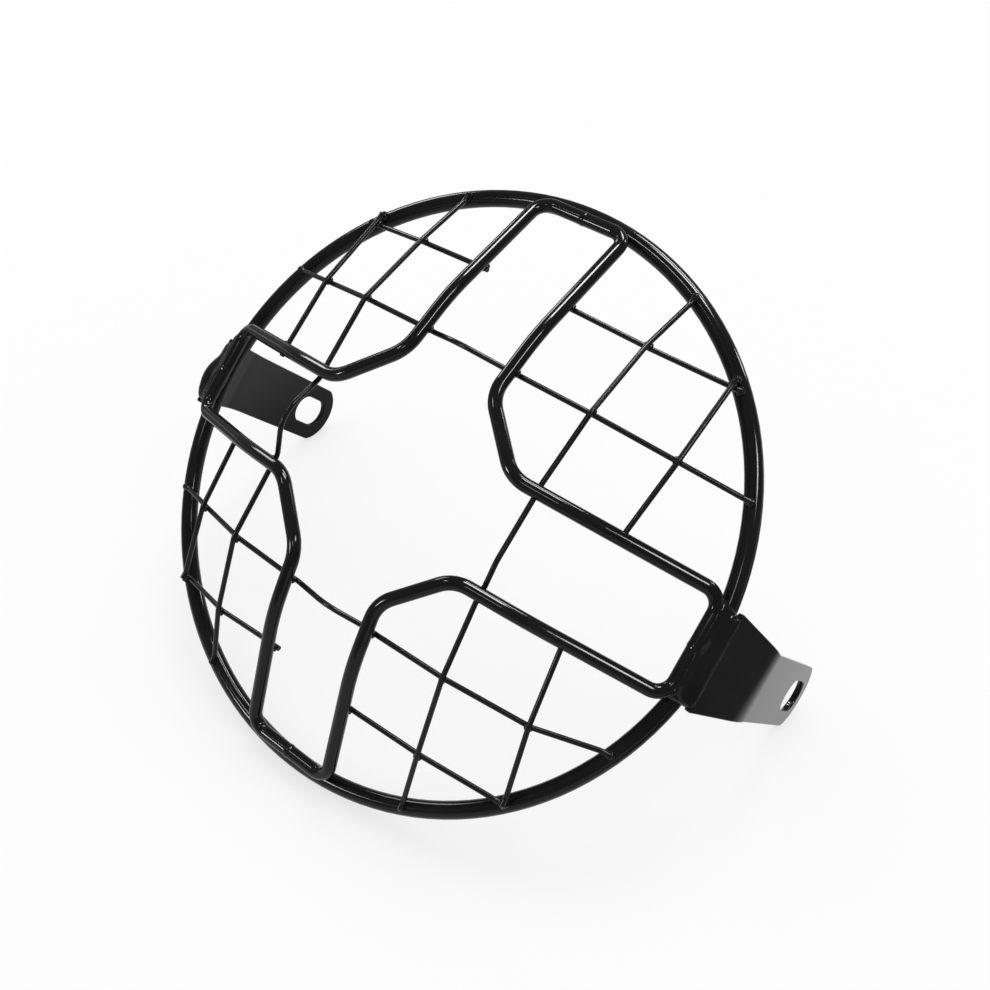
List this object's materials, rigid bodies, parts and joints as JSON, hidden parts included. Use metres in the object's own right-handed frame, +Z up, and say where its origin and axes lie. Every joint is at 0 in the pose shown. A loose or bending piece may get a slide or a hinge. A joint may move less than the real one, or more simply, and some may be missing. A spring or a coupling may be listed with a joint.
{
  "type": "headlight grille",
  "caption": "Round domed wire guard for a motorcycle headlight: a black ring with a cross of bent bars, a thin wire mesh and slotted side brackets.",
  "frame": {"origin": "on the floor, under the middle of the box around the grille as it stands on the ring's low edge and the two bracket tips", "axes": "+Z up; +X to the right seen from the front; the ring's low edge is towards -Y, its face leans back and looks up and towards -Y"},
  "size_m": [0.205, 0.1322, 0.1274],
  "materials": {
    "gloss_black_paint": "gloss"
  },
  "bodies": {
    "root": {"bar_joint_welds": "gloss_black_paint", "left_bracket": "gloss_black_paint", "left_bracket_weld": "gloss_black_paint", "left_long_wire": "gloss_black_paint", "lower_left_bar": "gloss_black_paint", "lower_left_level_wire": "gloss_black_paint", "lower_left_upright_wire": "gloss_black_paint", "lower_long_wire": "gloss_black_paint", "lower_right_bar": "gloss_black_paint", "lower_right_level_wire": "gloss_black_paint", "lower_right_upright_wire": "gloss_black_paint", "outer_ring": "gloss_black_paint", "right_bracket": "gloss_black_paint", "right_bracket_weld": "gloss_black_paint", "right_long_wire": "gloss_black_paint", "upper_left_bar": "gloss_black_paint", "upper_left_level_wire": "gloss_black_paint", "upper_left_upright_wire": "gloss_black_paint", "upper_long_wire": "gloss_black_paint", "upper_right_bar": "gloss_black_paint", "upper_right_level_wire": "gloss_black_paint", "upper_right_upright_wire": "gloss_black_paint", "wire_end_welds": "gloss_black_paint"}
  },
  "joints": []
}
